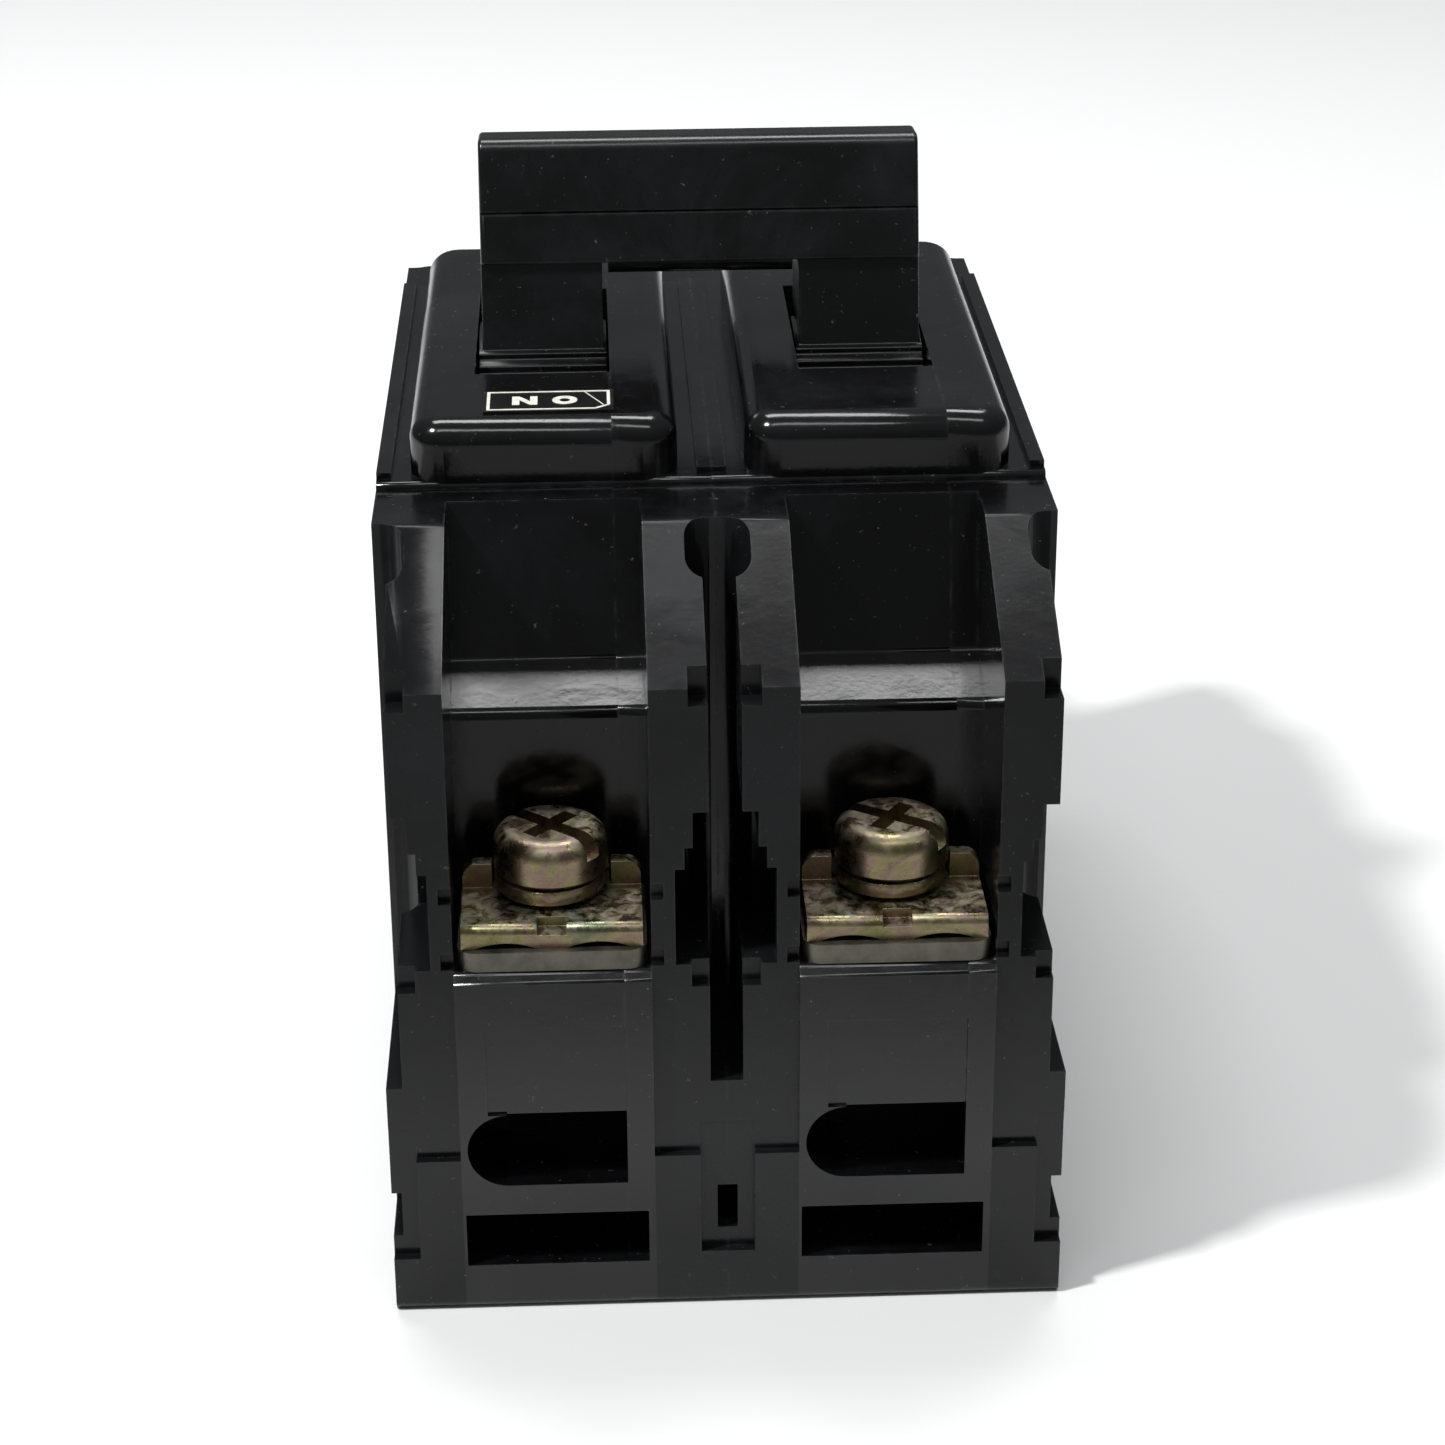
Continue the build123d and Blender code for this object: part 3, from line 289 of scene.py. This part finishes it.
def vulcanised_fibre():
    """Red vulcanised fibre board, calendered: a dull brick red with faint paper fibres."""
    material, tree, shader, place = new_material("vulcanised_fibre")
    noise = add(tree, "ShaderNodeTexNoise", Vector=place, Scale=1200.0, Detail=5.0)
    tone = ramp(tree, noise.outputs["Fac"], [(0.3, "5A2418"), (0.7, "7A3A26")])
    tree.links.new(tone, shader.inputs["Base Color"])
    shader.inputs["Roughness"].default_value = 0.7
    return material


def white_print():
    """White enamel ink, screen printed: flat, slightly yellowed, with a soft sheen."""
    material, tree, shader, place = new_material("white_print")
    noise = add(tree, "ShaderNodeTexNoise", Vector=place, Scale=1500.0, Detail=4.0)
    tone = ramp(tree, noise.outputs["Fac"], [(0.3, "C9C8BC"), (0.6, "E4E3DA")])
    tree.links.new(tone, shader.inputs["Base Color"])
    shader.inputs["Roughness"].default_value = 0.5
    return material


FINISHES = {
    "phenolic_shell": moulded_phenolic(ribs=True),
    "phenolic_handle": moulded_phenolic("moulded_phenolic_handle", gloss=0.24, dusty="191A1C"),
    "phenolic_trip": moulded_phenolic("brown_phenolic", gloss=0.4, base="2A1A10", dusty="3A261A"),
    "yellow_zinc_steel": yellow_chromate(),
    "plated_brass": plain_metal("dull_tinned_brass", "66645A", "7E7B70", 0.42),
    "silver_contact": plain_metal("silver_cadmium", "B8B6AE", "D8D6CE", 0.25),
    "copper": plain_metal("bare_copper", "9A5A3A", "B9764E", 0.35),
    "bimetal": plain_metal("rolled_bimetal", "7C776C", "98938A", 0.35, streak=8.0),
    "plain_steel": plain_metal("stamped_steel", "6A6C70", "8A8C90", 0.4),
    "bright_steel": plain_metal("nickelled_rivet_steel", "8A8A88", "B0B0AE", 0.28),
    "red_fibre": vulcanised_fibre(),
    "marking_plate": moulded_phenolic("black_laminate", gloss=0.28, base="0A0A0A", dusty="161616"),
}
WHITE_PRINT = white_print()


# ---------------------------------------------------------------- CAD nodes


def soften(node, width, limit=30.0):
    """Rounds a CAD node's sharp arrises with live modifiers, leaving its own mesh alone."""
    weld = node.modifiers.new("weld", "WELD")
    weld.merge_threshold = 1e-6
    flat = node.modifiers.new("flats", "DECIMATE")
    flat.decimate_type = "DISSOLVE"
    flat.angle_limit = radians(0.6)
    bevel = node.modifiers.new("arris", "BEVEL")
    bevel.width = width
    bevel.segments = 2
    bevel.limit_method = "ANGLE"
    bevel.angle_limit = radians(limit)
    bevel.harden_normals = True
    bevel.use_clamp_overlap = True


def finish_nodes():
    """Gives every CAD node its slot's material and its arrises."""
    for entry in frame["record"]["subparts"]:
        node = frame["nodes"][entry["node"]]
        node.data.materials.clear()
        node.data.materials.append(FINISHES[entry["material_slot"]])
        for prefix, width in ARRIS.items():
            if entry["node"].startswith(prefix):
                soften(node, width * MM)


finish_nodes()


# ---------------------------------------------------------------- marking


def stroke_mesh(name, loops, z_low, z_high, material):
    """Flat closed outlines, each a list of (x, y), raised between two heights as one mesh."""
    mesh = bpy.data.meshes.new(name)
    bm = bmesh.new()
    for loop in loops:
        low = [bm.verts.new((x, y, z_low)) for x, y in loop]
        high = [bm.verts.new((x, y, z_high)) for x, y in loop]
        count = len(loop)
        bm.faces.new(high)
        bm.faces.new(list(reversed(low)))
        for i in range(count):
            j = (i + 1) % count
            bm.faces.new((low[i], low[j], high[j], high[i]))
    bmesh.ops.recalc_face_normals(bm, faces=bm.faces)
    bm.to_mesh(mesh)
    bm.free()
    mesh.materials.append(material)
    piece = bpy.data.objects.new(name, mesh)
    bpy.context.collection.objects.link(piece)
    return piece


def bar_loop(a, b, width):
    """Corners of a straight stroke from a to b."""
    a, b = Vector(a), Vector(b)
    side = (b - a).normalized().orthogonal() * width / 2
    return [tuple(a + side), tuple(b + side), tuple(b - side), tuple(a - side)]


def box_loop(low_x, low_y, high_x, high_y):
    """Corners of an upright rectangle."""
    return [(low_x, low_y), (high_x, low_y), (high_x, high_y), (low_x, high_y)]


def frame_loops(low, high):
    """White frame line round the plate, with one worn corner and a crease beside it."""
    x0, y0 = low[0] + PRINT_INSET, low[1] + PRINT_INSET
    x1, y1 = high[0] - PRINT_INSET, high[1] - PRINT_INSET
    torn_x, torn_y = x1 - TORN_CORNER[0], y0 + TORN_CORNER[1]
    line = PRINT_LINE
    return [
        box_loop(x0, y0, torn_x, y0 + line),
        box_loop(x0, y1 - line, x1, y1),
        box_loop(x0, y0 + line, x0 + line, y1 - line),
        box_loop(x1 - line, torn_y, x1, y1 - line),
        bar_loop((torn_x, y0 + line / 2), (x1 - line / 2, torn_y), line),
        bar_loop((x1 - CREASE[0], y1 - line), (x1 - CREASE[1], torn_y), line / 3),
    ]


def letter_loops(left_x, centre_y):
    """Strokes of the switch-position word's two letters."""
    half, stroke = LETTER_SIZE / 2, LETTER_STROKE
    n_x, o_x = (left_x + centre for centre in LETTER_CENTRES)
    low_y, high_y = centre_y - half, centre_y + half
    loops = []
    for side in (-1, 1):
        x = n_x + side * (half - stroke / 2)
        loops.append(box_loop(x - stroke / 2, low_y, x + stroke / 2, high_y))
    left, right = n_x - half + stroke, n_x + half - stroke
    diagonal = [(left, high_y), (left, high_y - LETTER_DIAGONAL)]
    loops.append(diagonal + [(right, low_y), (right, low_y + LETTER_DIAGONAL)])
    turns = [2 * pi * i / RING_STEPS for i in range(RING_STEPS + 1)]
    for a, b in zip(turns, turns[1:]):
        corners = [(half, a), (half, b), (half - stroke, b), (half - stroke, a)]
        loops.append([(o_x + r * cos(turn), centre_y + r * sin(turn)) for r, turn in corners])
    return loops


def make_marking():
    """White frame with a worn corner and the switch-position word on the marking plate."""
    low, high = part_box("marking_plate")
    loops = frame_loops(low, high) + letter_loops(low[0], (low[1] + high[1]) / 2)
    top = high[2]
    marking = stroke_mesh("switch_marking", loops, top, top + PRINT_HEIGHT, WHITE_PRINT)
    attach(marking, "housing")


make_marking()


# ---------------------------------------------------------------- braids


# Corners of the braid's route as (y, z), and the weave's own sizes, in metres
BRAID_ROUTE = [(-0.0209, 0.0130), (-0.0185, 0.0086), (-0.0120, 0.0086), (-0.0074, 0.0176)]
BRAID_INPUTS = {
    "Strands": ("NodeSocketInt", 28),
    "Half Width": ("NodeSocketFloat", 0.0019),
    "Half Thickness": ("NodeSocketFloat", 0.00036),
    "Strand Radius": ("NodeSocketFloat", 0.00017),
    "Weave Length": ("NodeSocketFloat", 0.0075),
    "Bend Radius": ("NodeSocketFloat", 0.0028),
}


def braid_tree():
    """Node tree that weaves strands from side to side along a route curve."""
    tree = bpy.data.node_groups.new("flat_braid", "GeometryNodeTree")
    tree.interface.new_socket("Route", in_out="INPUT", socket_type="NodeSocketGeometry")
    for name, (kind, value) in BRAID_INPUTS.items():
        socket = tree.interface.new_socket(name, in_out="INPUT", socket_type=kind)
        socket.default_value = value
    tree.interface.new_socket("Braid", in_out="OUTPUT", socket_type="NodeSocketGeometry")
    given = add(tree, "NodeGroupInput").outputs
    rounded = add(tree, "GeometryNodeFilletCurve", i0=given["Route"])
    rounded.inputs["Radius"].default_value = 0.0
    tree.links.new(given["Bend Radius"], rounded.inputs["Radius"])
    smooth = add(tree, "GeometryNodeResampleCurve", i0=rounded.outputs[0], Count=70)
    seeds = add(tree, "GeometryNodePoints", Count=given["Strands"])
    copies = add(tree, "GeometryNodeInstanceOnPoints", Points=seeds.outputs[0], Instance=smooth.outputs[0])
    strands = add(tree, "GeometryNodeRealizeInstances", i0=copies.outputs[0])
    which = add(tree, "GeometryNodeCurveOfPoint").outputs["Curve Index"]
    along = add(tree, "GeometryNodeSplineParameter").outputs["Length"]
    share = calculate(tree, "DIVIDE", which, given["Strands"])
    waves = calculate(tree, "DIVIDE", along, given["Weave Length"])
    phase = calculate(tree, "FRACT", calculate(tree, "ADD", share, waves))
    swing = calculate(tree, "ABSOLUTE", calculate(tree, "MULTIPLY_ADD", phase, 2.0, -1.0))
    reach = calculate(tree, "MULTIPLY_ADD", swing, 2.0, -1.0)
    sideways = calculate(tree, "MULTIPLY", reach, given["Half Width"])
    weave = calculate(tree, "SINE", calculate(tree, "MULTIPLY", phase, 2 * pi))
    over = calculate(tree, "MULTIPLY", weave, given["Half Thickness"])
    across = add(tree, "ShaderNodeCombineXYZ", X=sideways).outputs[0]
    tangent = add(tree, "GeometryNodeInputTangent").outputs[0]
    outward = add(tree, "ShaderNodeVectorMath", {"operation": "CROSS_PRODUCT"}, i0=(1, 0, 0), i1=tangent)
    lifted = add(tree, "ShaderNodeVectorMath", {"operation": "SCALE"}, i0=outward.outputs[0], Scale=over)
    lift = lifted.outputs[0]
    offset = add(tree, "ShaderNodeVectorMath", {"operation": "ADD"}, i0=across, i1=lift)
    woven = add(tree, "GeometryNodeSetPosition", i0=strands.outputs[0], Offset=offset.outputs[0])
    section = add(tree, "GeometryNodeCurvePrimitiveCircle", Resolution=6, Radius=given["Strand Radius"])
    solid = add(tree, "GeometryNodeCurveToMesh", i0=woven.outputs[0], i1=section.outputs[0])
    solid.inputs["Fill Caps"].default_value = True
    real = add(tree, "GeometryNodeRealizeInstances", i0=solid.outputs[0])
    coated = add(tree, "GeometryNodeSetMaterial", i0=real.outputs[0])
    coated.inputs["Material"].default_value = FINISHES["copper"]
    add(tree, "NodeGroupOutput", i0=coated.outputs[0])
    return tree


def make_braid(pole, tree):
    """Flexible copper braid of one pole, woven round its route."""
    node = f"braid_{pole}"
    low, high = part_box(node)
    middle = (low[0] + high[0]) / 2
    route = bpy.data.curves.new("braid_route", "CURVE")
    route.dimensions = "3D"
    spline = route.splines.new("POLY")
    spline.points.add(len(BRAID_ROUTE) - 1)
    for point, (y, z) in zip(spline.points, BRAID_ROUTE):
        point.co = (middle, y, z, 1)
    carrier = bpy.data.objects.new("braid_carrier", route)
    bpy.context.collection.objects.link(carrier)
    modifier = carrier.modifiers.new("weave", "NODES")
    modifier.node_group = tree
    for item in tree.interface.items_tree:
        if item.in_out == "INPUT" and item.name in BRAID_INPUTS:
            modifier[item.identifier] = BRAID_INPUTS[item.name][1]
    bpy.context.view_layer.update()
    woven = carrier.evaluated_get(bpy.context.evaluated_depsgraph_get())
    mesh = bpy.data.meshes.new_from_object(woven)
    mesh.name = f"woven_{node}"
    bpy.data.objects.remove(carrier)
    for face in mesh.polygons:
        face.use_smooth = True
    braid = bpy.data.objects.new(f"woven_{node}", mesh)
    bpy.context.collection.objects.link(braid)
    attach(braid, "housing")
    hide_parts(node)


BRAID_TREE = braid_tree()
for side in POLES:
    make_braid(side, BRAID_TREE)


# ---------------------------------------------------------------- stage, light and camera


def make_floor():
    """Plain white paper, larger than any view of it, with painted shade on it in front, where the black
    faces mirror it.
    """
    mesh = bpy.data.meshes.new("floor")
    corners = [(x * PAPER_HALF, y * PAPER_HALF, 0) for x, y in ((-1, -1), (1, -1), (1, 1), (-1, 1))]
    mesh.from_pydata(corners, [], [(0, 1, 2, 3)])
    material, tree, shader, place = new_material("white_studio_paper")
    axes = add(tree, "ShaderNodeSeparateXYZ", Vector=place)
    # painted shade: the white paper is darkened towards the front so that the black faces mirror a dim
    # floor
    near = spread(tree, axes.outputs["Y"], *PAPER_PAINTED_SHADE)
    tree.links.new(ramp(tree, near, [(0.0, "A0A0A0"), (1.0, "F6F6F6")]), shader.inputs["Base Color"])
    shader.inputs["Roughness"].default_value = 0.9
    shader.inputs["Specular IOR Level"].default_value = 0.2
    mesh.materials.append(material)
    floor = bpy.data.objects.new("floor", mesh)
    bpy.context.collection.objects.link(floor)


def area_light(name, place, size, power):
    """Rectangular soft lamp at a place, turned to face the breaker."""
    lamp = bpy.data.lights.new(name, "AREA")
    lamp.shape = "RECTANGLE"
    lamp.size, lamp.size_y = size
    lamp.energy = power
    holder = bpy.data.objects.new(name, lamp)
    holder.location = place
    direction = Vector(LAMP_AIM) - Vector(place)
    holder.rotation_euler = direction.to_track_quat("-Z", "Y").to_euler()
    bpy.context.collection.objects.link(holder)


def make_light():
    """Room that is darker near the floor, a small key lamp at the left, a soft box and a strip above."""
    world = bpy.data.worlds.new("studio")
    bpy.context.scene.world = world
    world.use_nodes = True
    tree = world.node_tree
    toward = add(tree, "ShaderNodeTexCoord").outputs["Generated"]
    axes = add(tree, "ShaderNodeSeparateXYZ", Vector=toward)
    background = tree.nodes["Background"]
    background.inputs["Color"].default_value = (0.95, 0.98, 1, 1)
    tree.links.new(spread(tree, axes.outputs["Z"], 0.15, 0.8, 0.12, 0.24), background.inputs["Strength"])
    for name, (place, size, power) in LAMPS.items():
        area_light(name, place, size, power)


def make_camera():
    """Camera on the load end, a little above the breaker and almost square to it."""
    azimuth, elevation = radians(VIEW_AZIMUTH), radians(VIEW_ELEVATION)
    forward = Vector((cos(elevation) * sin(azimuth), cos(elevation) * cos(azimuth), -sin(elevation)))
    right = Vector((cos(azimuth), -sin(azimuth), 0))
    up = right.cross(forward)
    roll = radians(VIEW_ROLL)
    x_axis = right * cos(roll) - up * sin(roll)
    y_axis = right * sin(roll) + up * cos(roll)
    turn = Matrix((x_axis, y_axis, -forward)).transposed().to_4x4()
    lens = bpy.data.cameras.new("camera")
    lens.lens = FOCAL_LENGTH
    lens.sensor_width = SENSOR
    lens.clip_start = 0.01
    camera = bpy.data.objects.new("camera", lens)
    camera.matrix_world = Matrix.Translation(AIM - forward * VIEW_DISTANCE) @ turn
    bpy.context.collection.objects.link(camera)
    bpy.context.scene.camera = camera
    bpy.context.scene.view_settings.view_transform = "Standard"


make_floor()
make_light()
make_camera()
